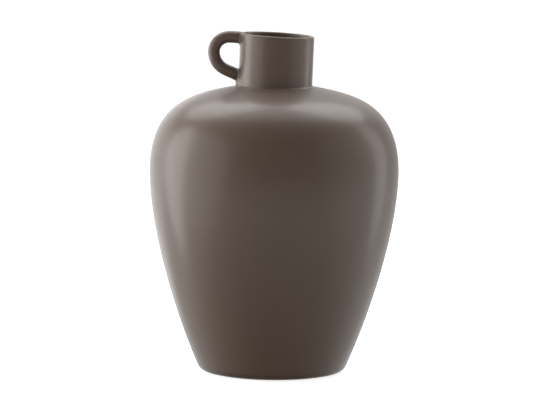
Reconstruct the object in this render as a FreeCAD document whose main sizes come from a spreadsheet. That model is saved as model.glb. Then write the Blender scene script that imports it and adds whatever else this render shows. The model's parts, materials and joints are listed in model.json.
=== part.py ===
import FreeCAD, Part
import math
import os
import re
import Sketcher

# Glazed stoneware jug vase: a slip-cast hollow body on a bare clay foot ring, a short
# neck collar that leans a little, and a rolled ring handle luted to the neck.
# Origin on the body's axis at the standing plane, +Z up, handle towards -X, millimetres.

SIZES = [
    ("glaze_height", 0.8, "bare clay showing between the table and the glaze"),
    ("foot_flat_radius", 64.0, "outer radius of the body's flat underside"),
    ("foot_corner_radius", 10.0, "round between the underside and the wall"),
    ("flare_angle", 24.0, "degrees between the wall and the upright at the foot"),
    ("flare_pull", 57.0, "how far the wall holds the flare before it curves in"),
    ("belly_radius", 122.0, "widest radius"),
    ("belly_height", 198.0, "height of the widest ring"),
    ("belly_pull_below", 56.6, "fullness of the wall below the widest ring"),
    ("belly_pull_above", 34.9, "fullness of the wall above the widest ring"),
    ("shoulder_inset", 12.2, "shoulder bend inside the widest radius"),
    ("shoulder_drop", 14.7, "shoulder bend below the neck root"),
    ("shoulder_pull", 34.9, "how far the shoulder holds its slope outwards"),
    ("shoulder_slope", 12.0, "degrees between the shoulder and the level at the neck"),
    ("shoulder_land", 8.5, "straight width of the shoulder round the neck"),
    ("body_wall", 6.0, "thickness of the cast body"),
    ("ring_radius", 62.0, "outer radius of the foot ring"),
    ("ring_width", 9.0, "width of the foot ring's standing face"),
    ("ring_height", 2.4, "height of the foot ring, part of it let into the body"),
    ("ring_edge", 0.4, "round on the foot ring's lower edges"),
    ("neck_root_height", 281.3, "height of the shoulder where the neck leaves it"),
    ("neck_lean", 1.8, "degrees that the neck leans away from the handle"),
    ("neck_radius", 36.2, "outside radius of the neck"),
    ("neck_wall", 3.8, "thickness of the neck"),
    ("neck_height", 51.7, "length of the neck from its seat to the rim"),
    ("seat_depth", 1.5, "depth that the neck is let into the shoulder"),
    ("slip_edge", 0.35, "thickness of a slip joint at its margin"),
    ("neck_slip_reach", 3.2, "slip joint out over the shoulder"),
    ("neck_slip_rise", 3.2, "slip joint up the neck"),
    ("neck_slip_hollow", 3.6, "radius of the hollow in the neck's slip joint"),
    ("roll_radius", 5.8, "radius of the handle's clay roll"),
    ("handle_top", 47.4, "height of the roll's middle over the seat at the rim"),
    ("handle_straight", 10.4, "level stretch of the roll out of the neck"),
    ("upper_bend", 14.7, "bend at the top of the handle, to the roll's middle"),
    ("lower_bend", 18.5, "bend at the bottom of the handle, to the roll's middle"),
    ("handle_slope", 21.7, "degrees that the roll falls towards its lower root"),
    ("rim_ramp", 4.8, "reach of the slope that takes the roll down to the rim"),
    ("top_slip_flare", 2.8, "upper slip joint beyond the roll, at the neck"),
    ("top_slip_reach", 3.6, "upper slip joint out along the roll"),
    ("top_slip_hollow", 3.4, "radius of the hollow in the upper slip joint"),
    ("low_slip_flare", 3.2, "lower slip joint beyond the roll, at the neck"),
    ("low_slip_reach", 6.0, "lower slip joint out along the roll"),
    ("low_slip_foot", 2.6, "lower slip joint on past the neck's face"),
    ("low_slip_hollow", 10.0, "radius of the hollow in the lower slip joint"),
    ("bite", 3.0, "how far a piece runs on inside before it is trimmed to its seat"),
    ("overrun", 12.0, "how far a cut runs on past what it cuts"),
]

FULL_TURN = 360

doc = FreeCAD.newDocument("JugVase")
sheet = doc.addObject("Spreadsheet::Sheet", "Sizes")


def fill_sheet():
    """Writes each driving size as name, number and meaning, and gives the number its alias."""
    for row, (alias, value, meaning) in enumerate(SIZES, start=1):
        sheet.set(f"A{row}", alias)
        sheet.set(f"B{row}", str(value))
        sheet.set(f"C{row}", meaning)
        sheet.setAlias(f"B{row}", alias)
    doc.recompute()


def formula(text):
    """Puts the sheet's name before every size that a formula mentions."""
    names = {alias for alias, value, meaning in SIZES}
    return re.sub(r"[a-z_]+", lambda word: f"Sizes.{word[0]}" if word[0] in names else word[0], text)


def number(text):
    """The present value of a formula of the sheet's sizes."""
    return float(sheet.evalExpression(formula(text)))


# Heights and places that several pieces share, as formulas of the sheet.
SEAT = "(neck_root_height - seat_depth)"
LAND_RADIUS = "(neck_radius + shoulder_land)"
LAND_HEIGHT = "(neck_root_height - shoulder_land * tan(shoulder_slope))"
SHOULDER_TOP = "(neck_root_height + neck_wall * tan(shoulder_slope))"
SPOUT_TOP = f"({SHOULDER_TOP} + bite)"
BORE = "(neck_radius - neck_wall)"
LIP = "(neck_wall / 2)"
SLIP_RADIUS = "(neck_radius + neck_slip_reach)"
SLIP_HEIGHT = "(neck_root_height - neck_slip_reach * tan(shoulder_slope))"
SLIP_TOP = "(neck_root_height + neck_slip_rise)"
ROLL_TOP = "(handle_top + roll_radius)"
BEND_X = "(neck_radius + handle_straight)"
BEND_FALL = "(lower_bend * cos(handle_slope))"
BEND_BACK = "(lower_bend * (1 - sin(handle_slope)))"
FALL_X = f"({BEND_X} + upper_bend - {BEND_BACK})"
FALL_Z = f"(handle_top - upper_bend - {BEND_FALL})"
LOW_ROOT = f"({FALL_Z} - ({FALL_X} - neck_radius) * tan(handle_slope))"
PATH_END = f"({FALL_Z} - ({FALL_X} - neck_radius + bite) * tan(handle_slope))"


def new_body(label):
    """A named sub-part whose features follow the sheet."""
    body = doc.addObject("PartDesign::Body", label)
    body.Label = label
    return body


def sketch_on(body, role, name):
    """A sketch on one of the body's own origin planes."""
    sketch = body.newObject("Sketcher::SketchObject", name)
    plane = next(item for item in body.Origin.OriginFeatures if item.Role == role)
    sketch.AttachmentSupport = [(plane, "")]
    sketch.MapMode = "FlatFace"
    return sketch


def turn_sketch(sketch, along, up, angle):
    """Moves a sketch in its own plane and turns it by an angle, anticlockwise as drawn."""
    sketch.AttachmentOffset = FreeCAD.Placement(
        FreeCAD.Vector(), FreeCAD.Rotation(FreeCAD.Vector(0, 0, 1), number(angle))
    )
    sketch.setExpression("AttachmentOffset.Base.x", formula(along))
    sketch.setExpression("AttachmentOffset.Base.y", formula(up))
    sketch.setExpression("AttachmentOffset.Rotation.Angle", formula(angle))


def stand_on_seat(body):
    """Sets a piece of the neck on the leaning seat in the shoulder."""
    body.Placement = FreeCAD.Placement(
        FreeCAD.Vector(), FreeCAD.Rotation(FreeCAD.Vector(0, 1, 0), number("neck_lean"))
    )
    body.setExpression("Placement.Base.z", formula(SEAT))
    body.setExpression("Placement.Rotation.Angle", formula("neck_lean"))


def hold(sketch, kind, geometry, end, text):
    """Adds one dimension that follows a formula."""
    value = number(text)
    if end is None:
        index = sketch.addConstraint(Sketcher.Constraint(kind, geometry, value))
    else:
        index = sketch.addConstraint(Sketcher.Constraint(kind, geometry, end, value))
    name = f"size{index}"
    sketch.renameConstraint(index, name)
    sketch.setExpression(f"Constraints.{name}", formula(text))


def hold_point(sketch, geometry, end, place):
    """Dimensions a point from both axes of its sketch."""
    hold(sketch, "DistanceX", geometry, end, place[0])
    hold(sketch, "DistanceY", geometry, end, place[1])


def vector(place):
    """A place written as two formulas, as a vector in the sketch."""
    return FreeCAD.Vector(number(place[0]), number(place[1]), 0)


def add_line(sketch, first, last):
    """Draws a straight stretch and returns its ends."""
    index = sketch.addGeometry(Part.LineSegment(vector(first), vector(last)))
    return (index, 1), (index, 2)


def add_arc(sketch, first, last, radius, side):
    """Draws an arc of under half a turn whose middle lies to that side of the way."""
    start, end = vector(first), vector(last)
    chord = end - start
    reach = math.sqrt(max(number(radius) ** 2 - (chord.Length / 2) ** 2, 0))
    left = FreeCAD.Vector(-chord.y, chord.x, 0).normalize()
    centre = start + chord / 2 + left * (reach if side == "left" else -reach)
    angles = [math.atan2(p.y - centre.y, p.x - centre.x) for p in (start, end)]
    if side == "right":
        angles.reverse()
    circle = Part.Circle(centre, FreeCAD.Vector(0, 0, 1), number(radius))
    index = sketch.addGeometry(Part.ArcOfCircle(circle, angles[0], angles[1]))
    hold(sketch, "Radius", index, None, radius)
    ends = ((index, 1), (index, 2))
    return ends if side == "left" else ends[::-1]


def add_curve(sketch, first, last, poles):
    """Draws one smooth stretch that its poles pull on."""
    points = [vector(place) for place in [first, *poles, last]]
    curve = Part.BSplineCurve()
    degree = len(points) - 1
    curve.buildFromPolesMultsKnots(points, [degree + 1] * 2, [0.0, 1.0], False, degree)
    index = sketch.addGeometry(curve)
    sketch.exposeInternalGeometry(index)
    for step, place in enumerate(poles, start=2):
        hold_point(sketch, index + step, 3, place)
    return (index, 1), (index, 2)


def draw(sketch, start, stretches, closed=True):
    """Draws an outline from a start through lines, arcs and curves, each end dimensioned."""
    first, before, opening = start, None, None
    for place, kind, *shape in stretches:
        if kind == "line":
            near, far = add_line(sketch, first, place)
        elif kind == "arc":
            near, far = add_arc(sketch, first, place, *shape)
        else:
            near, far = add_curve(sketch, first, place, shape)
        if before:
            sketch.addConstraint(Sketcher.Constraint("Coincident", *before, *near))
        else:
            opening = near
            hold_point(sketch, *near, start)
        last = place is stretches[-1][0]
        if not (closed and last):
            hold_point(sketch, *far, place)
        first, before = place, far
    if closed:
        sketch.addConstraint(Sketcher.Constraint("Coincident", *before, *opening))


def turned(body, kind, name, sketch, axis="V_Axis"):
    """Spins a sketch a full turn, to add or to cut away."""
    feature = body.newObject(f"PartDesign::{kind}", name)
    feature.Profile = sketch
    feature.ReferenceAxis = (sketch, [axis])
    feature.Angle = FULL_TURN
    sketch.Visibility = False
    doc.recompute()
    return feature


def cut_neck_cylinder(body):
    """Clears the space of the leaning neck out of an upright piece."""
    sketch = sketch_on(body, "XZ_Plane", "NeckSpace")
    turn_sketch(sketch, "0", SEAT, "0 - neck_lean")
    corners = [
        ("neck_radius", "0 - overrun"),
        ("neck_radius", "overrun"),
        ("0", "overrun"),
        ("0", "0 - overrun"),
    ]
    draw(sketch, corners[-1], [(corner, "line") for corner in corners])
    return turned(body, "Groove", "NeckSpaceCut", sketch)


def make_vessel_body():
    """The hollow body: foot corner, flared wall, belly, shoulder and the neck's seat.

    It is cast with a spout, as the slip is poured out there, and the socket for the neck
    takes the spout away.
    """
    body = new_body("vessel_body")
    wall = sketch_on(body, "XZ_Plane", "WallOutline")
    corner_end = (
        "foot_flat_radius + foot_corner_radius * cos(flare_angle)",
        "glaze_height + foot_corner_radius * (1 - sin(flare_angle))",
    )
    flare_pole = (
        f"{corner_end[0]} + flare_pull * sin(flare_angle)",
        f"{corner_end[1]} + flare_pull * cos(flare_angle)",
    )
    slope_pole = (
        f"{LAND_RADIUS} + shoulder_pull * cos(shoulder_slope)",
        f"{LAND_HEIGHT} - shoulder_pull * sin(shoulder_slope)",
    )
    draw(wall, ("0", "glaze_height"), [
        (("foot_flat_radius", "glaze_height"), "line"),
        (corner_end, "arc", "foot_corner_radius", "left"),
        (("belly_radius", "belly_height"), "curve",
         flare_pole,
         ("belly_radius", "belly_height - belly_pull_below")),
        ((LAND_RADIUS, LAND_HEIGHT), "curve",
         ("belly_radius", "belly_height + belly_pull_above"),
         ("belly_radius - shoulder_inset", "neck_root_height - shoulder_drop"),
         slope_pole),
        ((BORE, SHOULDER_TOP), "line"),
        ((BORE, SPOUT_TOP), "line"),
        (("0", SPOUT_TOP), "line"),
        (("0", "glaze_height"), "line"),
    ])
    cast = turned(body, "Revolution", "CastShape", wall)
    hollow = body.newObject("PartDesign::Thickness", "Hollow")
    faces = cast.Shape.Faces
    top = max(range(len(faces)), key=lambda i: faces[i].BoundBox.ZMin)
    hollow.Base = (cast, [f"Face{top + 1}"])
    hollow.setExpression("Value", formula("body_wall"))
    hollow.Reversed = True
    doc.recompute()
    socket = sketch_on(body, "XZ_Plane", "NeckSocket")
    turn_sketch(socket, "0", SEAT, "0 - neck_lean")
    draw(socket, ("0", "0 - overrun"), [
        ((BORE, "0 - overrun"), "line"),
        ((BORE, "0"), "line"),
        (("neck_radius", "0"), "line"),
        (("neck_radius", "overrun"), "line"),
        (("0", "overrun"), "line"),
        (("0", "0 - overrun"), "line"),
    ])
    turned(body, "Groove", "NeckSocketCut", socket)
    recess = sketch_on(body, "XZ_Plane", "FootRecess")
    draw(recess, ("0", "0"), [
        (("ring_radius", "0"), "line"),
        (("ring_radius", "ring_height"), "line"),
        (("0", "ring_height"), "line"),
        (("0", "0"), "line"),
    ])
    turned(body, "Groove", "FootRecessCut", recess)
    return body


def make_foot_ring():
    """The bare clay ring that the vase stands on, let into the recess under the body."""
    body = new_body("foot_ring")
    sketch = sketch_on(body, "XZ_Plane", "RingSection")
    draw(sketch, ("ring_radius - ring_width", "0"), [
        (("ring_radius", "0"), "line"),
        (("ring_radius", "ring_height"), "line"),
        (("ring_radius - ring_width", "ring_height"), "line"),
        (("ring_radius - ring_width", "0"), "line"),
    ])
    ring = turned(body, "Revolution", "Ring", sketch)
    worn = body.newObject("PartDesign::Fillet", "WornEdges")
    edges = [
        f"Edge{index}" for index, edge in enumerate(ring.Shape.Edges, start=1)
        if abs(edge.BoundBox.ZMax) < number("ring_edge") / 2
    ]
    worn.Base = (ring, edges)
    worn.setExpression("Radius", formula("ring_edge"))
    doc.recompute()
    return body


def make_neck_collar():
    """The thrown neck: a short tube with a full round lip, on its leaning seat."""
    body = new_body("neck_collar")
    sketch = sketch_on(body, "XZ_Plane", "NeckSection")
    lip_foot = f"neck_height - {LIP}"
    draw(sketch, (BORE, "0"), [
        (("neck_radius", "0"), "line"),
        (("neck_radius", lip_foot), "line"),
        ((f"neck_radius - {LIP}", "neck_height"), "arc", LIP, "left"),
        ((BORE, lip_foot), "arc", LIP, "left"),
        ((BORE, "0"), "line"),
    ])
    turned(body, "Revolution", "Neck", sketch)
    stand_on_seat(body)
    return body


def make_neck_slip_joint():
    """The hollow fillet of slip that lutes the neck to the shoulder."""
    body = new_body("neck_slip_joint")
    sketch = sketch_on(body, "XZ_Plane", "SlipSection")
    inner = "neck_radius - bite"
    inner_height = "neck_root_height + bite * tan(shoulder_slope)"
    draw(sketch, (inner, inner_height), [
        ((SLIP_RADIUS, SLIP_HEIGHT), "line"),
        ((SLIP_RADIUS, f"{SLIP_HEIGHT} + slip_edge"), "line"),
        (("neck_radius + slip_edge", SLIP_TOP), "arc", "neck_slip_hollow", "right"),
        ((inner, SLIP_TOP), "line"),
        ((inner, inner_height), "line"),
    ])
    turned(body, "Revolution", "SlipRing", sketch)
    cut_neck_cylinder(body)
    return body


def trim_to_neck(body):
    """Cuts a handle piece back to the neck's wall and lip, and ramps it down to the rim."""
    sketch = sketch_on(body, "XZ_Plane", "NeckOutline")
    lip_foot = f"neck_height - {LIP}"
    ramp_foot = f"neck_radius - {LIP}"
    above = f"{ROLL_TOP} + overrun"
    draw(sketch, ("0", "0 - overrun"), [
        (("neck_radius", "0 - overrun"), "line"),
        (("neck_radius", lip_foot), "line"),
        ((ramp_foot, "neck_height"), "arc", LIP, "left"),
        (("neck_radius + rim_ramp", ROLL_TOP), "line"),
        (("neck_radius + rim_ramp", above), "line"),
        (("0", above), "line"),
        (("0", "0 - overrun"), "line"),
    ])
    return turned(body, "Groove", "NeckOutlineCut", sketch)


def trim_to_shoulder(body):
    """Cuts a piece of the leaning neck back to the shoulder and to the neck's slip joint."""
    sketch = sketch_on(body, "XZ_Plane", "ShoulderOutline")
    turn_sketch(sketch, f"{SEAT} * sin(neck_lean)", f"0 - {SEAT} * cos(neck_lean)", "neck_lean")
    under = f"{LAND_HEIGHT} - overrun"
    draw(sketch, ("0", under), [
        ((LAND_RADIUS, under), "line"),
        ((LAND_RADIUS, LAND_HEIGHT), "line"),
        ((SLIP_RADIUS, SLIP_HEIGHT), "line"),
        ((SLIP_RADIUS, f"{SLIP_HEIGHT} + slip_edge"), "line"),
        (("neck_radius + slip_edge", SLIP_TOP), "arc", "neck_slip_hollow", "right"),
        (("0", SLIP_TOP), "line"),
        (("0", under), "line"),
    ])
    return turned(body, "Groove", "ShoulderOutlineCut", sketch)


def make_ring_handle():
    """The rolled handle: a level start at the rim, two bends and a straight fall to the neck."""
    body = new_body("ring_handle")
    path = sketch_on(body, "XZ_Plane", "RollPath")
    bend_low = "handle_top - upper_bend"
    draw(path, ("bite - neck_radius", "handle_top"), [
        ((f"0 - {BEND_X}", "handle_top"), "line"),
        ((f"0 - {BEND_X} - upper_bend", bend_low), "arc", "upper_bend", "left"),
        ((f"0 - {FALL_X}", FALL_Z), "arc", "lower_bend", "left"),
        (("bite - neck_radius", PATH_END), "line"),
    ], closed=False)
    section = sketch_on(body, "YZ_Plane", "RollSection")
    section.setExpression("AttachmentOffset.Base.z", formula("bite - neck_radius"))
    centre = ("0", "handle_top")
    circle = Part.Circle(vector(centre), FreeCAD.Vector(0, 0, 1), number("roll_radius"))
    index = section.addGeometry(circle)
    hold_point(section, index, 3, centre)
    hold(section, "Radius", index, None, "roll_radius")
    roll = body.newObject("PartDesign::AdditivePipe", "Roll")
    roll.Profile = section
    roll.Spine = (path, [])
    doc.recompute()
    trim_to_neck(body)
    stand_on_seat(body)
    return body


def make_top_slip():
    """The flare of slip round the handle's upper root, under and beside the rim."""
    body = new_body("handle_slip_joint_top")
    sketch = sketch_on(body, "XZ_Plane", "FlareSection")
    turn_sketch(sketch, "0", "handle_top", "0")
    rim = "roll_radius + top_slip_flare"
    far = "0 - neck_radius - top_slip_reach"
    draw(sketch, ("bite - neck_radius", "roll_radius"), [
        (("bite - neck_radius", rim), "line"),
        (("0 - neck_radius - slip_edge", rim), "line"),
        ((far, "roll_radius + slip_edge"), "arc", "top_slip_hollow", "right"),
        ((far, "roll_radius"), "line"),
        (("bite - neck_radius", "roll_radius"), "line"),
    ])
    turned(body, "Revolution", "Flare", sketch, "H_Axis")
    trim_to_neck(body)
    stand_on_seat(body)
    return body


def make_low_slip():
    """The longer flare of slip round the lower root, smoothed down on to the shoulder."""
    body = new_body("handle_slip_joint_bottom")
    sketch = sketch_on(body, "XZ_Plane", "FlareSection")
    turn_sketch(sketch, "0 - neck_radius", LOW_ROOT, "0 - handle_slope")
    rim = "roll_radius + low_slip_flare"
    far = "0 - low_slip_reach"
    inside = "low_slip_foot + bite"
    draw(sketch, (inside, "roll_radius"), [
        ((inside, rim), "line"),
        (("low_slip_foot", rim), "line"),
        ((far, "roll_radius + slip_edge"), "arc", "low_slip_hollow", "right"),
        ((far, "roll_radius"), "line"),
        ((inside, "roll_radius"), "line"),
    ])
    turned(body, "Revolution", "Flare", sketch, "H_Axis")
    trim_to_neck(body)
    trim_to_shoulder(body)
    stand_on_seat(body)
    return body


def check(parts):
    """Stops if any feature failed or any sub-part is not a sound solid."""
    for item in doc.Objects:
        if "Invalid" in item.State or "Error" in item.State:
            raise RuntimeError(f"{item.Name} failed: {item.State}")
    for part in parts:
        shape = part.Shape
        if shape.isNull() or not shape.isValid() or not shape.Solids:
            raise RuntimeError(f"{part.Label} is not a sound solid")
        print(part.Label, "solids", len(shape.Solids), "volume", round(shape.Volume))


def main():
    """Builds every sub-part, checks it and writes its file."""
    fill_sheet()
    vessel = make_vessel_body()
    foot = make_foot_ring()
    neck = make_neck_collar()
    neck_slip = make_neck_slip_joint()
    handle = make_ring_handle()
    top_slip = make_top_slip()
    low_slip = make_low_slip()
    doc.recompute()
    parts = [vessel, foot, neck, neck_slip, handle, top_slip, low_slip]
    check(parts)
    os.makedirs("parts", exist_ok=True)
    for part in parts:
        part.Shape.exportStep(f"parts/{part.Label}.step")


main()
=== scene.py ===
import json
import math
from collections import Counter
from contextlib import contextmanager

import bpy
import numpy as np
from bpy.props import FloatProperty, FloatVectorProperty, IntProperty, PointerProperty
from mathutils import Matrix, Vector


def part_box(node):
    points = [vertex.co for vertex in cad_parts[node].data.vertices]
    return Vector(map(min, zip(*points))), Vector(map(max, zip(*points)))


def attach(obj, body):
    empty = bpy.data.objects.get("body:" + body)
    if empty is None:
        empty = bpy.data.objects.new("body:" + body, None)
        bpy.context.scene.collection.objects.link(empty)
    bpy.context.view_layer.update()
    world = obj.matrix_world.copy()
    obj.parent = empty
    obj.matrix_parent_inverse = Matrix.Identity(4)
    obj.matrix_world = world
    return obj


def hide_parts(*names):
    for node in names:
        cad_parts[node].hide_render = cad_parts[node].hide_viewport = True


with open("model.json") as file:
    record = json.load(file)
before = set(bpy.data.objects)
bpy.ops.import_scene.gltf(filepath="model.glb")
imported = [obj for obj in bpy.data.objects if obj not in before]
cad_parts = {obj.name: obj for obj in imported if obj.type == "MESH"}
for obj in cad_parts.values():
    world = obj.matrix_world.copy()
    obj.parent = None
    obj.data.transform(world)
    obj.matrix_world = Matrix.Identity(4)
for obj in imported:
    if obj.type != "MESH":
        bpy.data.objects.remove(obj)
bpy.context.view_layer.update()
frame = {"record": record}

bl_info = {
    "name": "Jug Vase",
    "version": (1, 0, 0),
    "blender": (4, 5, 0),
    "location": "View3D > Sidebar > Jug Vase",
    "description": "Models and lights a glazed stoneware jug vase with a small ring handle",
    "category": "Add Mesh",
}

# Places that the fixed frame gives, in metres.
BODY_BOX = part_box("vessel_body")
RING_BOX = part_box("foot_ring")
MOUTH = next(mount for mount in frame["record"]["mounts"] if mount["name"] == "mouth")
BORE = MOUTH["dims"]["r_mm"] / 1000
LEAN = math.atan2(MOUTH["axis"][0], MOUTH["axis"][2])

MM = 0.001
SMALLEST = 1e-6
QUARTER_TURN = math.pi / 2


def length(name, description, default):
    """A length in metres that a user can change."""
    return FloatProperty(
        name=name, description=description, default=default, unit="LENGTH", subtype="DISTANCE"
    )


def angle(name, description, degrees):
    """An angle that a user can change, given here in degrees."""
    return FloatProperty(
        name=name, description=description, default=math.radians(degrees), unit="ROTATION", subtype="ANGLE"
    )


def share(name, description, default):
    """A share from nothing to all."""
    return FloatProperty(
        name=name, description=description, default=default, min=0, max=1, subtype="FACTOR"
    )


def amount(name, description, default):
    """A plain number."""
    return FloatProperty(name=name, description=description, default=default)


def colour(name, description, default):
    """A linear colour that a user can change."""
    return FloatVectorProperty(
        name=name, description=description, default=default, min=0, max=1, subtype="COLOR"
    )


def steps(name, description, default):
    """A count of steps."""
    return IntProperty(name=name, description=description, default=default, min=1)


class VaseBodySizes(bpy.types.PropertyGroup):
    """Sizes of the hollow body and its foot."""

    foot_flat: length("Foot flat", "Outer radius of the flat underside", 0.0640)
    foot_corner: length("Foot corner", "Round between the underside and the wall", 0.0100)
    flare: angle("Flare", "Between the wall and the upright at the foot", 24)
    flare_pull: length("Flare pull", "How far the wall holds the flare", 0.0570)
    belly_height: length("Belly height", "Height of the widest ring", 0.1980)
    belly_pull_below: length("Pull below", "Fullness below the widest ring", 0.0566)
    belly_pull_above: length("Pull above", "Fullness above the widest ring", 0.0349)
    shoulder_inset: length("Shoulder inset", "Shoulder bend inside the widest radius", 0.0122)
    shoulder_drop: length("Shoulder drop", "Shoulder bend below the neck root", 0.0147)
    shoulder_pull: length("Shoulder pull", "How far the shoulder holds its slope", 0.0349)
    shoulder_slope: angle("Shoulder slope", "Between the shoulder and the level", 12)
    shoulder_land: length("Shoulder land", "Straight width round the neck", 0.0085)
    wall: length("Wall", "Thickness of the cast wall", 0.0060)
    hole_gap: length("Hole gap", "Step between the neck's bore and the shoulder's", 0.00015)
    ring_gap: length("Ring gap", "Joint between the foot ring and its recess", 0.0001)
    rim_round: length("Rim round", "Round on the glaze line over the foot ring", 0.0005)
    ring_width: length("Ring width", "Width of the foot ring's standing face", 0.0090)
    ring_round: length("Ring round", "Round on the foot ring's lower edges", 0.0005)
    turns: steps("Turns", "Facets round the body", 224)
    curve_steps: steps("Curve steps", "Rows along each long curve of the wall", 56)


class VaseNeckSizes(bpy.types.PropertyGroup):
    """Sizes of the neck and its ring handle, in the neck's own leaning frame."""

    seat: length("Seat", "Height of the neck's seat", 0.2798)
    root: length("Root", "Height of the shoulder at the neck", 0.2813)
    radius: length("Neck radius", "Outside radius of the neck", 0.0362)
    height: length("Neck height", "Length from the seat to the rim", 0.0517)
    lip_fullness: amount("Lip fullness", "Grows the lip's cage for what smoothing takes off", 1.10)
    rim_tilt: angle("Rim tilt", "How far the rim rises towards the handle", 0.9)
    hem: length("Hem", "Reach of the slip joint over the shoulder", 0.0021)
    hem_sink: length("Hem sink", "Depth that the joint's edge is let into the shoulder", 0.0005)
    roll: length("Roll", "Radius of the handle's clay roll", 0.0058)
    roll_fullness: amount("Roll fullness", "Grows the roll's cage for what smoothing takes off", 1.02)
    handle_top: length("Handle top", "Height of the roll's middle at the rim", 0.0474)
    handle_straight: length("Straight", "Level stretch of the roll out of the neck", 0.0104)
    upper_bend: length("Upper bend", "Bend at the top, to the roll's middle", 0.0147)
    lower_bend: length("Lower bend", "Bend at the bottom, to the roll's middle", 0.0185)
    fall: angle("Fall", "Slope of the roll towards its lower root", 21.7)
    root_gap: length("Root gap", "Stretch left between roll and neck for the joints", 0.0040)
    upper_root_low: length("Upper root, low", "Lower end of the upper slip joint on the neck", 0.0374)
    lower_root_low: length("Lower root, low", "Lower end of the lower slip joint on the neck", 0.0034)
    lower_root_high: length("Lower root, high", "Upper end of the lower slip joint on the neck", 0.0188)
    web_reach: length("Web reach", "Slip pulled out under the lower root", 0.0029)
    web_spread: length("Web spread", "Width of that web of slip", 0.0080)
    columns: steps("Columns", "Facets round the neck's cage", 64)
    sides: steps("Sides", "Facets round the roll's cage", 18)


class VaseFinish(bpy.types.PropertyGroup):
    """Colours and surface of the glaze and the bare clay."""

    # Deep glaze also colours the hollows, partly as pooled glaze and partly as painted shade.
    glaze_deep: colour("Deep glaze", "Colour where the glaze is thick", (0.107, 0.063, 0.040))
    glaze_light: colour("Light glaze", "Colour where the glaze is thin", (0.130, 0.081, 0.054))
    # Edge colour: partly the glaze thinning over edges, partly a painted highlight along them.
    edge_glaze_and_highlight: colour("Edge glaze", "Colour where the glaze breaks over an edge", (0.165, 0.114, 0.082))
    flecks: share("Flecks", "Strength of the light flecks in the glaze", 0.35)
    # Strength of that edge colour, partly thin glaze and partly a painted highlight.
    edge_break_and_highlight: share("Edge break", "Strength of the lighter colour over edges", 0.8)
    # Strength of the deeper colour in hollows: partly pooled glaze, partly painted shade in creases and
    # joints.
    pooling_and_shade: share("Pooling", "Strength of the deeper colour in hollows", 0.7)
    glaze_roughness: share("Glaze roughness", "Softness of the glaze under its skin", 0.50)
    glaze_index: amount("Glaze index", "Index of refraction of the glaze", 1.52)
    skin: share("Glaze skin", "Strength of the smoother skin on the glaze", 0.45)
    skin_roughness: share("Skin roughness", "Softness of the skin's satin shine", 0.23)
    glaze_haze: share("Glaze haze", "Milky haze of the fine crystals at a slant", 0.10)
    haze_roughness: share("Haze roughness", "Softness of that haze", 0.5)
    peel: share("Peel", "Strength of the glaze's fine orange-peel surface", 0.12)
    swell: share("Swell", "Strength of the slow waves in the glaze", 0.5)
    clay: colour("Clay", "Colour of the bare clay", (0.56, 0.43, 0.30))
    clay_dark: colour("Grog colour", "Colour of the dark grains in the clay", (0.30, 0.21, 0.14))
    blotches: share("Blotches", "Strength of the darker blotches in the clay", 0.35)
    grog: share("Grog", "Strength of the dark grains in the clay", 0.8)
    clay_grain: share("Clay grain", "Strength of the clay's sandy surface", 0.8)


class VaseStudio(bpy.types.PropertyGroup):
    """Place of the camera and strength of the room's light."""

    distance: length("Distance", "From the camera to the vase", 3.920)
    elevation: angle("Elevation", "Height of the camera over the level", 6.4)
    roll: angle("Roll", "Turn of the camera about its own axis", 0.7)
    aim_height: length("Aim height", "Height that the camera looks at", 0.1641)
    aside: length("Aside", "Camera's step to its right", 0.00127)
    drop: length("Drop", "Camera's step down", 0.00098)
    focal: amount("Focal length", "Lens in millimetres on a 36 mm sensor", 261.8)
    room: amount("Room", "Brightness of the room all round", 0.25)
    back_wall: amount("Back wall", "Extra brightness of the wall behind the vase", 0.60)
    table: amount("Table", "Extra brightness of the table", 0.62)


def settings(name):
    """One group of the scene's sizes."""
    return getattr(bpy.context.scene, name)


def evenly(start, end, count):
    """Values from one to another in equal steps, both ends in."""
    return [start + (end - start) * step / count for step in range(count + 1)]


def bezier(poles, count):
    """Points along the smooth stretch that its poles pull on, without the first."""
    order = len(poles) - 1
    points = []
    for step in range(1, count + 1):
        t = step / count
        weights = [math.comb(order, k) * t**k * (1 - t) ** (order - k) for k in range(order + 1)]
        points.append(tuple(sum(w * p[axis] for w, p in zip(weights, poles)) for axis in (0, 1)))
    return points


def arc(centre, radius, start, end, count):
    """Points along an arc between two angles, both ends in."""
    return [
        (centre[0] + radius * math.cos(turn), centre[1] + radius * math.sin(turn))
        for turn in evenly(start, end, count)
    ]


def inside_of(points, depth):
    """The same line moved inwards by a wall's thickness."""
    moved = []
    for index, (x, z) in enumerate(points):
        before, after = points[max(index - 1, 0)], points[min(index + 1, len(points) - 1)]
        way = Vector((after[0] - before[0], after[1] - before[1])).normalized()
        moved.append((x - way.y * depth, z + way.x * depth))
    return moved


def clear_selection():
    """Leaves no object selected."""
    bpy.ops.object.select_all(action="DESELECT")


def only(obj):
    """Makes one object the selected and active one."""
    clear_selection()
    obj.select_set(True)
    bpy.context.view_layer.objects.active = obj


@contextmanager
def edit_mode():
    """Opens the active mesh for editing, and closes it after."""
    bpy.ops.object.mode_set(mode="EDIT")
    yield
    bpy.ops.object.mode_set(mode="OBJECT")


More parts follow.
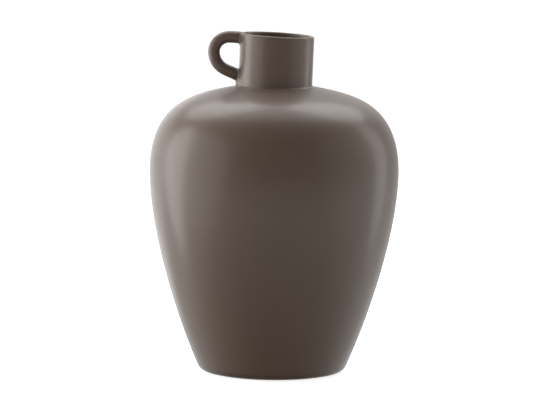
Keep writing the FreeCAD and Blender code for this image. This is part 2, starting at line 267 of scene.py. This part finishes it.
def lathe(name, outline, turns):
    """Draws an outline point by point on the plane Y = 0 and spins it round the Z axis."""
    clear_selection()
    bpy.ops.mesh.primitive_plane_add(size=MM, location=(0, 0, 0))
    obj = bpy.context.object
    obj.name = obj.data.name = name
    with edit_mode():
        bpy.ops.mesh.select_all(action="SELECT")
        bpy.ops.mesh.merge(type="CENTER")
        bpy.ops.transform.translate(value=(outline[0][0], 0, outline[0][1]))
        for (x, z), (next_x, next_z) in zip(outline, outline[1:]):
            bpy.ops.mesh.extrude_vertices_move(
                TRANSFORM_OT_translate={"value": (next_x - x, 0, next_z - z)}
            )
        bpy.ops.mesh.select_all(action="SELECT")
        bpy.ops.mesh.spin(steps=turns, angle=math.tau, center=(0, 0, 0), axis=(0, 0, 1))
        bpy.ops.mesh.select_all(action="SELECT")
        bpy.ops.mesh.remove_doubles(threshold=SMALLEST)
        bpy.ops.mesh.normals_make_consistent(inside=False)
    return obj


def smooth(obj):
    """Shades a finished piece smooth."""
    only(obj)
    bpy.ops.object.shade_smooth()


# How often the stored bend is averaged with its neighbours.
BEND_BLURS = 3


def store_bend(obj):
    """Keeps how sharply the surface bends at each vertex, per millimetre: below nothing in a hollow."""
    mesh = obj.data
    count = len(mesh.vertices)
    place = np.empty(count * 3)
    normal = np.empty(count * 3)
    ends = np.empty(len(mesh.edges) * 2, dtype=np.int64)
    mesh.vertices.foreach_get("co", place)
    mesh.vertices.foreach_get("normal", normal)
    mesh.edges.foreach_get("vertices", ends)
    place, normal, ends = place.reshape(-1, 3), normal.reshape(-1, 3), ends.reshape(-1, 2)
    bend, edges = np.zeros(count), np.zeros(count)
    for here, there in ((0, 1), (1, 0)):
        way = place[ends[:, here]] - place[ends[:, there]]
        reach = np.maximum((way**2).sum(1), SMALLEST**2)
        np.add.at(bend, ends[:, here], 2 * (normal[ends[:, here]] * way).sum(1) / reach)
        np.add.at(edges, ends[:, here], 1)
    bend = bend / np.maximum(edges, 1) * MM
    for _ in range(BEND_BLURS):
        total = bend.copy()
        np.add.at(total, ends[:, 0], bend[ends[:, 1]])
        np.add.at(total, ends[:, 1], bend[ends[:, 0]])
        bend = total / (edges + 1)
    layer = mesh.attributes.new("bend", "FLOAT", "POINT")
    layer.data.foreach_set("value", bend.astype(np.float32))


# Rows along the short rounds: foot corner, glaze line, the shoulder's hole and the foot ring's edges.
CORNER_ROWS = 12
GLAZE_LINE_ROWS = 3
HOLE_ROWS = 4
RING_ROWS = 5


def body_wall(body, neck):
    """The outside of the body: foot corner, flared wall, belly, and shoulder up to the neck."""
    widest, line = min(-BODY_BOX[0].x, BODY_BOX[1].y), BODY_BOX[0].z
    slope, flare = body.shoulder_slope, body.flare
    land_x = neck.radius + body.shoulder_land
    land_z = neck.root - body.shoulder_land * math.tan(slope)
    corner = (body.foot_flat, line + body.foot_corner)
    foot = arc(corner, body.foot_corner, -QUARTER_TURN, -flare, CORNER_ROWS)
    foot_x, foot_z = foot[-1]
    below = bezier(
        [
            (foot_x, foot_z),
            (foot_x + body.flare_pull * math.sin(flare), foot_z + body.flare_pull * math.cos(flare)),
            (widest, body.belly_height - body.belly_pull_below),
            (widest, body.belly_height),
        ],
        body.curve_steps,
    )
    above = bezier(
        [
            (widest, body.belly_height),
            (widest, body.belly_height + body.belly_pull_above),
            (widest - body.shoulder_inset, neck.root - body.shoulder_drop),
            (land_x + body.shoulder_pull * math.cos(slope), land_z - body.shoulder_pull * math.sin(slope)),
            (land_x, land_z),
        ],
        body.curve_steps,
    )
    return foot + below + above


def body_outline(body, neck):
    """The whole outline of the hollow body, from the middle of its underside to that of its floor."""
    line, recess = BODY_BOX[0].z, RING_BOX[1].z
    ring, rim = RING_BOX[1].x + body.ring_gap, body.rim_round
    slope = math.tan(body.shoulder_slope)
    hole, hole_round = BORE + body.hole_gap, body.wall / 3
    hole_low = neck.root + (neck.radius - hole) * slope - body.wall / math.cos(body.shoulder_slope)
    dip = neck.hem / 4
    wall = body_wall(body, neck)
    inner = [place for place in inside_of(wall, body.wall) if place[0] > hole + body.wall / 2]
    return [
        (0, recess),
        (ring - rim, recess),
        (ring, recess),
        *arc((ring + rim, line + rim), rim, 2 * QUARTER_TURN, 3 * QUARTER_TURN, GLAZE_LINE_ROWS),
        *wall,
        # Under the neck the shoulder dips clear of the slip joint and ends at the bore.
        (neck.radius, neck.root - dip),
        (neck.radius - neck.hem, neck.root + neck.hem * slope - 2 * dip),
        (hole, neck.seat + 2 * dip),
        *arc(
            (hole + hole_round, hole_low + hole_round),
            hole_round,
            2 * QUARTER_TURN,
            3 * QUARTER_TURN - body.shoulder_slope,
            HOLE_ROWS,
        ),
        # Half of the wall's rows are enough inside.
        *inner[::-2],
        (0, inner[0][1]),
    ]


class VASE_OT_make_body(bpy.types.Operator):
    """Spins the hollow body with its foot corner, belly, shoulder and the opening for the neck"""

    bl_idname = "vase.make_body"
    bl_label = "Make the body"

    def execute(self, context):
        body, neck = settings("vase_body"), settings("vase_neck")
        obj = lathe("vessel_shell", body_outline(body, neck), body.turns)
        smooth(obj)
        store_bend(obj)
        obj.data.materials.append(glaze())
        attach(obj, "root")
        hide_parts("vessel_body")
        return {"FINISHED"}


class VASE_OT_make_foot_ring(bpy.types.Operator):
    """Spins the bare clay ring that the vase stands on"""

    bl_idname = "vase.make_foot_ring"
    bl_label = "Make the foot ring"

    def execute(self, context):
        body = settings("vase_body")
        edge, outside, top = body.ring_round, RING_BOX[1].x, RING_BOX[1].z
        inside = outside - body.ring_width
        outline = [
            (inside, top),
            *arc((inside + edge, edge), edge, 2 * QUARTER_TURN, 3 * QUARTER_TURN, RING_ROWS),
            ((inside + outside) / 2, 0),
            *arc((outside - edge, edge), edge, -QUARTER_TURN, 0, RING_ROWS),
            (outside, top),
            (inside, top),
        ]
        obj = lathe("foot_ring_clay", outline, body.turns)
        smooth(obj)
        obj.data.materials.append(bare_clay())
        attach(obj, "root")
        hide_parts("foot_ring")
        return {"FINISHED"}


# Rows of the neck's cage, in millimetres over its seat: up the bore, and down between the handle's roots.
UNDERSIDE = -1.6
BORE_ROWS = (UNDERSIDE, 0, 4, 12, 22, 32, 40, 45)
BETWEEN_ROOTS = (33, 28, 23)
# Faces across the hole at each root of the handle, and down the upper and the lower one.
ROOT_COLUMNS = 4
UPPER_ROOT_ROWS = 3
LOWER_ROOT_ROWS = 5
# Rows of the slip joint: reach over the shoulder and height above it, in hems, and where its edge sinks in.
JOINT_ROWS = ((0.05, 0.35), (0.35, 0.1), (0.8, 0))
JOINT_EDGE = 1.2
# Depths under the rim, in lip rounds: what the tilt turns, and where the upper hole follows the tilt.
TILTED_LIPS = 1.5
SLANTED_LIPS = 2
# Steps of the roll along its straight, its two bends and its fall.
STRAIGHT_STEPS = 2
UPPER_BEND_STEPS = 8
LOWER_BEND_STEPS = 6
FALL_STEPS = 4
# Rows of the slip flare between the roll and the neck, how softly it curves, and the last smoothing.
ROOT_CUTS = 2
ROOT_FLARE = 0.9
NECK_SMOOTHING = 2


def lip_round(neck):
    """Radius of the lip, half of the neck's wall."""
    return (neck.radius - BORE) / 2


def neck_outline(neck, body):
    """The closed cage of the neck: bore, lip, outside, slip joint on the shoulder and underside."""
    lip = lip_round(neck)
    middle, foot = neck.radius - lip, neck.height - lip
    full = lip * neck.lip_fullness
    slant = full * math.sqrt(0.5)
    slope = math.tan(body.shoulder_slope)

    def over_shoulder(reach, above):
        """A place this far out of the neck and this far above the sloping shoulder."""
        radius = neck.radius + reach
        return (radius, neck.root - neck.seat - (radius - neck.radius) * slope + above)

    bore = [(BORE, height * MM) for height in BORE_ROWS]
    rim = [
        (BORE, foot),
        (middle - slant, foot + slant),
        (middle, foot + full),
        (middle + slant, foot + slant),
    ]
    outside = [
        *evenly(foot, neck.upper_root_low, UPPER_ROOT_ROWS),
        *(height * MM for height in BETWEEN_ROOTS),
        *evenly(neck.lower_root_high, neck.lower_root_low, LOWER_ROOT_ROWS),
    ]
    joint = [over_shoulder(neck.hem * reach, neck.hem * above) for reach, above in JOINT_ROWS]
    joint.append(over_shoulder(neck.hem * JOINT_EDGE, -neck.hem_sink))
    joint.append((neck.radius, UNDERSIDE * MM))
    return [*bore, *rim, *((neck.radius, height) for height in outside), *joint, bore[0]]


def extrude_loop(x, z, count):
    """Draws the selected loop out along X and Z in equal steps."""
    for _ in range(count):
        bpy.ops.mesh.extrude_edges_move(TRANSFORM_OT_translate={"value": (x / count, 0, z / count)})


def add_roll(neck):
    """The handle's clay roll, an open tube from the upper root round two bends to the lower root."""
    start = -neck.radius - neck.root_gap
    bend_x = -neck.radius - neck.handle_straight
    bend_z = neck.handle_top - neck.upper_bend
    low_x = bend_x - neck.upper_bend + neck.lower_bend
    fall_x = low_x - neck.lower_bend * math.sin(neck.fall)
    reach = (-fall_x - neck.radius) / math.cos(neck.fall) - neck.root_gap
    clear_selection()
    bpy.ops.mesh.primitive_circle_add(
        vertices=neck.sides,
        radius=neck.roll * neck.roll_fullness,
        fill_type="NOTHING",
        location=(start, 0, neck.handle_top),
        rotation=(QUARTER_TURN, 0, QUARTER_TURN),
    )
    obj = bpy.context.object
    bpy.ops.object.transform_apply(location=True, rotation=True, scale=True)
    with edit_mode():
        bpy.ops.mesh.select_all(action="SELECT")
        extrude_loop(bend_x - start, 0, STRAIGHT_STEPS)
        for count, turn, centre in (
            (UPPER_BEND_STEPS, QUARTER_TURN, (bend_x, 0, bend_z)),
            (LOWER_BEND_STEPS, QUARTER_TURN - neck.fall, (low_x, 0, bend_z)),
        ):
            bpy.ops.mesh.spin(steps=count, angle=turn, center=centre, axis=(0, 1, 0))
        extrude_loop(reach * math.cos(neck.fall), -reach * math.sin(neck.fall), FALL_STEPS)
    return obj


def start_selection(mesh, points=False, edges=False, faces=False):
    """Leaves nothing of a mesh selected, and sets which of its elements are picked next."""
    bpy.context.tool_settings.mesh_select_mode = (points, edges, faces)
    for group in (mesh.vertices, mesh.edges, mesh.polygons):
        group.foreach_set("select", [False] * len(group))


def select_points(obj, wanted):
    """Selects the points whose place passes a test, and nothing else."""
    start_selection(obj.data, points=True)
    for point in obj.data.vertices:
        point.select = wanted(point.co)


def select_faces(obj, wanted):
    """Selects the faces whose middle passes a test, and nothing else."""
    start_selection(obj.data, faces=True)
    for face in obj.data.polygons:
        face.select = wanted(face.center)


def select_open_edges(obj, wanted):
    """Selects the open edges whose middle passes a test, and nothing else."""
    mesh = obj.data
    start_selection(mesh, edges=True)
    uses = Counter(key for face in mesh.polygons for key in face.edge_keys)
    for edge in mesh.edges:
        middle = (mesh.vertices[edge.vertices[0]].co + mesh.vertices[edge.vertices[1]].co) / 2
        edge.select = uses[edge.key] == 1 and wanted(middle)


def turn_ends(obj, neck):
    """Tilts the rim towards the handle, and turns the slip joint back to the level shoulder."""
    lip = lip_round(neck)
    for wanted, turn, height in (
        (lambda place: place.z > neck.height - TILTED_LIPS * lip, -neck.rim_tilt, neck.height - lip),
        (lambda place: place.z < neck.lower_root_low - MM, LEAN, 0),
    ):
        select_points(obj, wanted)
        with edit_mode():
            bpy.ops.transform.rotate(
                value=turn, orient_axis="Y", orient_type="GLOBAL", center_override=(0, 0, height)
            )


def open_roots(obj, neck):
    """Cuts the two holes in the neck's cage that the handle's roots are joined to."""
    lip = lip_round(neck)
    half_hole = ROOT_COLUMNS / 2 * math.tau / neck.columns
    roots = ((neck.upper_root_low, neck.height), (neck.lower_root_low, neck.lower_root_high))

    def at_a_root(middle):
        """Whether a face belongs to a hole, with the rim's tilt taken off its height."""
        across = abs(math.atan2(middle.y, -middle.x)) < half_hole
        outside = math.hypot(middle.x, middle.y) > neck.radius - lip
        slanted = middle.z > neck.height - SLANTED_LIPS * lip
        level = middle.z + middle.x * math.tan(neck.rim_tilt) * slanted
        return across and outside and any(low < level < high for low, high in roots)

    select_faces(obj, at_a_root)
    with edit_mode():
        bpy.ops.mesh.delete(type="FACE")


def join_roll(obj, neck):
    """Joins the handle's roll to the neck and bridges its ends into the two holes."""
    roll = add_roll(neck)
    only(obj)
    roll.select_set(True)
    bpy.ops.object.join()
    halfway = neck.height / 2
    for above in (True, False):
        select_open_edges(obj, lambda middle: (middle.z > halfway) == above)
        with edit_mode():
            bpy.ops.mesh.bridge_edge_loops(
                number_cuts=ROOT_CUTS, interpolation="SURFACE", smoothness=ROOT_FLARE
            )
    with edit_mode():
        bpy.ops.mesh.select_all(action="SELECT")
        bpy.ops.mesh.normals_make_consistent(inside=False)


def pull_web(obj, neck, body):
    """Pulls a web of slip out along the shoulder under the lower root."""
    front, top = -neck.radius + lip_round(neck) / 2, neck.lower_root_low + SMALLEST
    select_points(
        obj, lambda place: place.x < front and abs(place.y) < neck.roll / 2 and place.z < top
    )
    with edit_mode():
        bpy.ops.transform.translate(
            value=(-neck.web_reach, 0, -neck.web_reach * math.tan(body.shoulder_slope)),
            use_proportional_edit=True,
            use_proportional_connected=True,
            proportional_edit_falloff="SMOOTH",
            proportional_size=neck.web_spread,
        )


class VASE_OT_make_neck(bpy.types.Operator):
    """Models the neck, its lip, the ring handle and their slip joints as one smooth glazed piece"""

    bl_idname = "vase.make_neck"
    bl_label = "Make the neck and handle"

    def execute(self, context):
        neck, body = settings("vase_neck"), settings("vase_body")
        obj = lathe("neck_and_handle", neck_outline(neck, body), neck.columns)
        turn_ends(obj, neck)
        open_roots(obj, neck)
        join_roll(obj, neck)
        pull_web(obj, neck, body)
        obj.location = (0, 0, neck.seat)
        obj.rotation_euler = (0, LEAN, 0)
        bpy.ops.object.transform_apply(location=True, rotation=True, scale=True)
        rounding = obj.modifiers.new("rounding", "SUBSURF")
        rounding.levels = rounding.render_levels = NECK_SMOOTHING
        bpy.ops.object.modifier_apply(modifier=rounding.name)
        smooth(obj)
        store_bend(obj)
        obj.data.materials.append(glaze())
        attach(obj, "root")
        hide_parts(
            "neck_collar",
            "neck_slip_joint",
            "ring_handle",
            "handle_slip_joint_top",
            "handle_slip_joint_bottom",
        )
        return {"FINISHED"}


# Each cloud of the kiln's variation: name, and the scale, detail and roughness of its noise.
CLOUDS = (
    ("Drift", 9.0, 3.0, 0.5),
    ("Mottle", 160.0, 4.0, 0.55),
    ("Grain", 1400.0, 2.0, 0.6),
)
# Parts of a cloud's range over which a change comes in.
MIDDLE_SPAN = (0.3, 0.7)
FLECK_SPAN = (0.35, 0.75)
BLOTCH_SPAN = (0.35, 0.7)
GROG_SPAN = (0.62, 0.70)
# Bends per millimetre over which the glaze turns lighter over an edge, partly thin glaze and partly a
# painted highlight, or deeper in a hollow, partly pooled glaze and partly painted shade.
EDGE_BEND = (0.05, 0.35)
HOLLOW_BEND = (-0.03, -0.25)
# Heights of the bumps, in metres.
PEEL_HEIGHT = 0.00002
SWELL_HEIGHT = 0.0003
CLAY_HEIGHT = 0.00008
# How far the glaze's roughness wanders, and the range of the clay's.
ROUGHNESS_DRIFT = (-0.02, 0.03)
CLAY_ROUGHNESS = (0.82, 0.95)
# Finer clouds for the clay than the group gives by itself.
CLAY_MOTTLE_SCALE = 420.0
CLAY_GRAIN_SCALE = 2600.0


def node(tree, kind, place, values=None, **options):
    """Adds one node at a place in the editor, with its options and unlinked values."""
    made = tree.nodes.new(kind)
    made.location = place
    for key, value in options.items():
        setattr(made, key, value)
    for key, value in (values or {}).items():
        made.inputs[key].default_value = value
    return made


def kiln_variation():
    """The group that gives drift over the piece, mottling and fine grain from one place in space."""
    name = "Kiln Variation"
    if name in bpy.data.node_groups:
        return bpy.data.node_groups[name]
    tree = bpy.data.node_groups.new(name, "ShaderNodeTree")
    for label, scale, _, _ in CLOUDS:
        socket = tree.interface.new_socket(
            f"{label} Scale", in_out="INPUT", socket_type="NodeSocketFloat"
        )
        socket.default_value = scale
        tree.interface.new_socket(label, in_out="OUTPUT", socket_type="NodeSocketFloat")
    given = node(tree, "NodeGroupInput", (-600, 0))
    result = node(tree, "NodeGroupOutput", (300, 0))
    where = node(tree, "ShaderNodeTexCoord", (-600, -200))
    for row, (label, _, detail, roughness) in enumerate(CLOUDS):
        cloud = node(
            tree, "ShaderNodeTexNoise", (-200, -240 * row), {"Detail": detail, "Roughness": roughness}
        )
        tree.links.new(where.outputs["Object"], cloud.inputs["Vector"])
        tree.links.new(given.outputs[f"{label} Scale"], cloud.inputs["Scale"])
        tree.links.new(cloud.outputs["Fac"], result.inputs[label])
    return tree


def new_material(name):
    """An empty node material with its shader and output."""
    material = bpy.data.materials.new(name)
    material.use_nodes = True
    tree = material.node_tree
    tree.nodes.clear()
    shader = node(tree, "ShaderNodeBsdfPrincipled", (400, 0))
    output = node(tree, "ShaderNodeOutputMaterial", (700, 0))
    tree.links.new(shader.outputs["BSDF"], output.inputs["Surface"])
    return material, tree, shader


def ranged(tree, source, place, span, result):
    """Carries a value from one range to another, held at its ends."""
    made = node(
        tree, "ShaderNodeMapRange", place,
        {"From Min": span[0], "From Max": span[1], "To Min": result[0], "To Max": result[1]},
    )
    tree.links.new(source, made.inputs["Value"])
    return made.outputs["Result"]


def mixed(tree, factor, first, second, place):
    """Mixes two colours, each a plain colour or another node's output."""
    made = node(tree, "ShaderNodeMix", place, data_type="RGBA")
    tree.links.new(factor, made.inputs["Factor"])
    for socket, value in ((made.inputs["A"], first), (made.inputs["B"], second)):
        if isinstance(value, bpy.types.NodeSocket):
            tree.links.new(value, socket)
        else:
            socket.default_value = (*value, 1)
    return made.outputs["Result"]


def bumped(tree, height, place, strength, distance, under=None):
    """Raises the surface by a value, on top of another bump where one is given."""
    made = node(tree, "ShaderNodeBump", place, {"Strength": strength, "Distance": distance})
    tree.links.new(height, made.inputs["Height"])
    if under:
        tree.links.new(under, made.inputs["Normal"])
    return made.outputs["Normal"]


def glaze():
    """The satin-matt dark grey-brown glaze: deeper in hollows, partly pooled glaze and partly painted
    shade, and lighter over edges, partly thin glaze and partly a painted highlight.
    """
    name = "satin_glaze"
    if name in bpy.data.materials:
        return bpy.data.materials[name]
    look = settings("vase_finish")
    material, tree, shader = new_material(name)
    kiln = node(tree, "ShaderNodeGroup", (-900, 0), node_tree=kiln_variation()).outputs
    bend = node(tree, "ShaderNodeAttribute", (-900, -300), attribute_name="bend").outputs["Fac"]
    drift = ranged(tree, kiln["Drift"], (-650, 200), MIDDLE_SPAN, MIDDLE_SPAN)
    base = mixed(tree, drift, look.glaze_deep, look.glaze_light, (-400, 200))
    flecks = ranged(tree, kiln["Mottle"], (-650, 0), FLECK_SPAN, (0, look.flecks))
    flecked = mixed(tree, flecks, base, look.glaze_light, (-200, 150))
    # Lighter over edges: partly thin glaze, partly a painted highlight along the lip and other edges.
    edges = ranged(tree, bend, (-650, -300), EDGE_BEND, (0, look.edge_break_and_highlight))
    broken_and_highlit = mixed(tree, edges, flecked, look.edge_glaze_and_highlight, (0, 100))
    # Deeper in hollows: partly pooled glaze, partly painted shade at the neck's root and the handle's
    # joints.
    hollows = ranged(tree, bend, (-650, -500), HOLLOW_BEND, (0, look.pooling_and_shade))
    pooled_and_shaded = mixed(tree, hollows, broken_and_highlit, look.glaze_deep, (180, 100))
    roughness = ranged(
        tree, kiln["Mottle"], (-400, -200), MIDDLE_SPAN,
        [look.glaze_roughness + change for change in ROUGHNESS_DRIFT],
    )
    swell = bumped(tree, kiln["Drift"], (-50, -300), look.swell, SWELL_HEIGHT)
    peel = bumped(tree, kiln["Grain"], (150, -300), look.peel, PEEL_HEIGHT, swell)
    tree.links.new(pooled_and_shaded, shader.inputs["Base Color"])
    tree.links.new(roughness, shader.inputs["Roughness"])
    tree.links.new(peel, shader.inputs["Normal"])
    shader.inputs["IOR"].default_value = look.glaze_index
    shader.inputs["Coat Weight"].default_value = look.skin
    shader.inputs["Coat Roughness"].default_value = look.skin_roughness
    shader.inputs["Sheen Weight"].default_value = look.glaze_haze
    shader.inputs["Sheen Roughness"].default_value = look.haze_roughness
    return material


def bare_clay():
    """The sponged, unglazed clay of the foot ring, with fine darker grog."""
    name = "bare_clay"
    if name in bpy.data.materials:
        return bpy.data.materials[name]
    look = settings("vase_finish")
    material, tree, shader = new_material(name)
    group = node(tree, "ShaderNodeGroup", (-900, 0), node_tree=kiln_variation())
    group.inputs["Mottle Scale"].default_value = CLAY_MOTTLE_SCALE
    group.inputs["Grain Scale"].default_value = CLAY_GRAIN_SCALE
    kiln = group.outputs
    blotches = ranged(tree, kiln["Mottle"], (-650, 200), BLOTCH_SPAN, (0, look.blotches))
    blotched = mixed(tree, blotches, look.clay, look.clay_dark, (-400, 200))
    grains = ranged(tree, kiln["Grain"], (-650, 0), GROG_SPAN, (0, look.grog))
    grogged = mixed(tree, grains, blotched, look.clay_dark, (-200, 150))
    roughness = ranged(tree, kiln["Grain"], (-400, -200), MIDDLE_SPAN, CLAY_ROUGHNESS)
    sandy = bumped(tree, kiln["Grain"], (150, -300), look.clay_grain, CLAY_HEIGHT)
    tree.links.new(grogged, shader.inputs["Base Color"])
    tree.links.new(roughness, shader.inputs["Roughness"])
    tree.links.new(sandy, shader.inputs["Normal"])
    return material


# Each light: name, place and aim in metres, width and height, strength in watts.
SOFTBOXES = (
    ("left_strip", (-1.55, 0.35, 0.4), (0, 0, 0.2), 0.85, 1.9, 14.8),
    ("left_fill", (-1.49, -0.57, 0.45), (0, 0, 0.2), 1.6, 2.0, 8.9),
    ("left_back", (-0.89, 1.33, 0.25), (0, 0, 0.2), 1.8, 1.3, 5.7),
    ("right_strip", (1.47, 0.63, 0.45), (0, 0, 0.2), 0.6, 1.9, 5.2),
    ("right_fill", (1.52, -0.49, 0.45), (0, 0, 0.2), 1.6, 2.0, 3.1),
    ("high_left", (-0.62, 0.85, 1.5), (0, 0, 0.25), 1.2, 1.1, 8.6),
    ("high_right", (0.66, 0.85, 1.5), (0, 0, 0.25), 1.2, 1.1, 8.6),
    ("overhead", (0, 0.45, 1.7), (0, 0, 0.25), 2.0, 1.3, 6.9),
)
# Brightness of the white that the camera sees round the vase.
SEEN_WHITE = 1.05
# Parts of the room, by the way they lie from the vase: the wall behind it, the table all round it, and
# the table right under it, which is in its shade.
WALL_SPAN = (0.75, 1.0)
TABLE_SPAN = (-0.05, -0.3)
SHADE_SPAN = (-0.4, -0.85)
# The floor, in metres, and its look.
FLOOR_WIDTH = 30
FLOOR_DROP = MM / 10
FLOOR_GREY = 0.85
FLOOR_ROUGHNESS = 0.9
FLOOR_GLOW = 0.8
WHITE = (1, 1, 1, 1)
# The furthest that the camera sees, in metres.
CAMERA_REACH = 100


def look_along(place, aim, roll=0.0):
    """The turn that points a camera or a light from a place at an aim."""
    way = (Vector(aim) - Vector(place)).to_track_quat("-Z", "Y")
    return (way.to_matrix() @ Matrix.Rotation(roll, 3, "Z")).to_euler()


def add_camera(studio):
    """The long lens in front of the vase, a little above it."""
    level = Vector((0, -math.cos(studio.elevation), math.sin(studio.elevation)))
    aim = Vector((0, 0, studio.aim_height))
    place = aim + level * studio.distance
    turn = look_along(place, aim, studio.roll)
    step = turn.to_matrix() @ Vector((studio.aside, -studio.drop, 0))
    bpy.ops.object.camera_add(location=place + step, rotation=turn)
    camera = bpy.context.object
    camera.name = "front_camera"
    camera.data.lens = studio.focal
    camera.data.clip_end = CAMERA_REACH
    bpy.context.scene.camera = camera


def add_softbox(name, place, aim, width, height, watts):
    """One soft light that the camera doesn't see."""
    bpy.ops.object.light_add(type="AREA", location=place, rotation=look_along(place, aim))
    box = bpy.context.object
    box.name = name
    box.data.shape = "ELLIPSE"
    box.data.size, box.data.size_y = width, height
    box.data.energy = watts
    box.visible_camera = False


def set_backdrop(studio):
    """White all round for the camera; for light and shine a dim room with a pale back wall and table."""
    world = bpy.data.worlds.new("studio")
    bpy.context.scene.world = world
    world.use_nodes = True
    tree = world.node_tree
    tree.nodes.clear()
    output = node(tree, "ShaderNodeOutputWorld", (600, 0))
    choice = node(tree, "ShaderNodeMixShader", (400, 0))
    seen = node(tree, "ShaderNodeBackground", (150, -150), {"Color": WHITE, "Strength": SEEN_WHITE})
    room = node(tree, "ShaderNodeBackground", (150, 50), {"Color": WHITE})
    ray = node(tree, "ShaderNodeLightPath", (150, 350))
    where = node(tree, "ShaderNodeTexCoord", (-800, 0))
    way = node(tree, "ShaderNodeSeparateXYZ", (-600, 0))
    tree.links.new(where.outputs["Generated"], way.inputs["Vector"])
    wall = ranged(tree, way.outputs["Y"], (-400, 200), WALL_SPAN, (0, studio.back_wall))
    table = ranged(
        tree, way.outputs["Z"], (-400, 0), TABLE_SPAN, (studio.room, studio.room + studio.table)
    )
    shade = ranged(tree, way.outputs["Z"], (-400, -250), SHADE_SPAN, (1, 0))
    shaded = node(tree, "ShaderNodeMath", (-200, 0), operation="MULTIPLY")
    total = node(tree, "ShaderNodeMath", (0, 50), operation="ADD")
    for source, socket in (
        (table, shaded.inputs[0]),
        (shade, shaded.inputs[1]),
        (shaded.outputs["Value"], total.inputs[0]),
        (wall, total.inputs[1]),
        (total.outputs["Value"], room.inputs["Strength"]),
        (ray.outputs["Is Camera Ray"], choice.inputs["Fac"]),
        (room.outputs["Background"], choice.inputs[1]),
        (seen.outputs["Background"], choice.inputs[2]),
        (choice.outputs["Shader"], output.inputs["Surface"]),
    ):
        tree.links.new(source, socket)


def add_floor():
    """The pale floor, a hair under the foot ring so that the two faces don't share a plane."""
    bpy.ops.mesh.primitive_plane_add(size=FLOOR_WIDTH, location=(0, 0, -FLOOR_DROP))
    floor = bpy.context.object
    floor.name = "floor"
    material, _, shader = new_material("pale_floor")
    shader.inputs["Base Color"].default_value = (FLOOR_GREY, FLOOR_GREY, FLOOR_GREY, 1)
    shader.inputs["Roughness"].default_value = FLOOR_ROUGHNESS
    shader.inputs["Emission Color"].default_value = WHITE
    shader.inputs["Emission Strength"].default_value = FLOOR_GLOW
    floor.data.materials.append(material)
    floor.visible_diffuse = False
    floor.visible_glossy = False


class VASE_OT_set_stage(bpy.types.Operator):
    """Sets the floor, the lights, the room and the camera"""

    bl_idname = "vase.set_stage"
    bl_label = "Set the stage"

    def execute(self, context):
        studio = settings("vase_studio")
        clear_selection()
        add_floor()
        for box in SOFTBOXES:
            add_softbox(*box)
        set_backdrop(studio)
        add_camera(studio)
        context.scene.view_settings.view_transform = "Standard"
        return {"FINISHED"}


GROUPS = {
    "vase_body": VaseBodySizes,
    "vase_neck": VaseNeckSizes,
    "vase_finish": VaseFinish,
    "vase_studio": VaseStudio,
}
OPERATORS = (VASE_OT_make_body, VASE_OT_make_foot_ring, VASE_OT_make_neck, VASE_OT_set_stage)


class VASE_PT_panel(bpy.types.Panel):
    """Lists the vase's sizes and the buttons that make it"""

    bl_idname = "VASE_PT_panel"
    bl_label = "Jug Vase"
    bl_space_type = "VIEW_3D"
    bl_region_type = "UI"
    bl_category = "Jug Vase"

    def draw(self, context):
        for name, group in GROUPS.items():
            box = self.layout.box()
            box.label(text=group.__doc__)
            for size in group.__annotations__:
                box.prop(getattr(context.scene, name), size)
        for operator in OPERATORS:
            self.layout.operator(operator.bl_idname)


CLASSES = (*GROUPS.values(), *OPERATORS, VASE_PT_panel)


def register():
    """Makes the sizes, buttons and panel known to Blender."""
    for made in CLASSES:
        bpy.utils.register_class(made)
    for name, group in GROUPS.items():
        setattr(bpy.types.Scene, name, PointerProperty(type=group))


def unregister():
    """Takes them away again."""
    for name in GROUPS:
        delattr(bpy.types.Scene, name)
    for made in reversed(CLASSES):
        bpy.utils.unregister_class(made)


def main():
    """Makes the vase and its stage."""
    register()
    bpy.ops.vase.make_body()
    bpy.ops.vase.make_foot_ring()
    bpy.ops.vase.make_neck()
    bpy.ops.vase.set_stage()


if __name__ == "__main__":
    main()
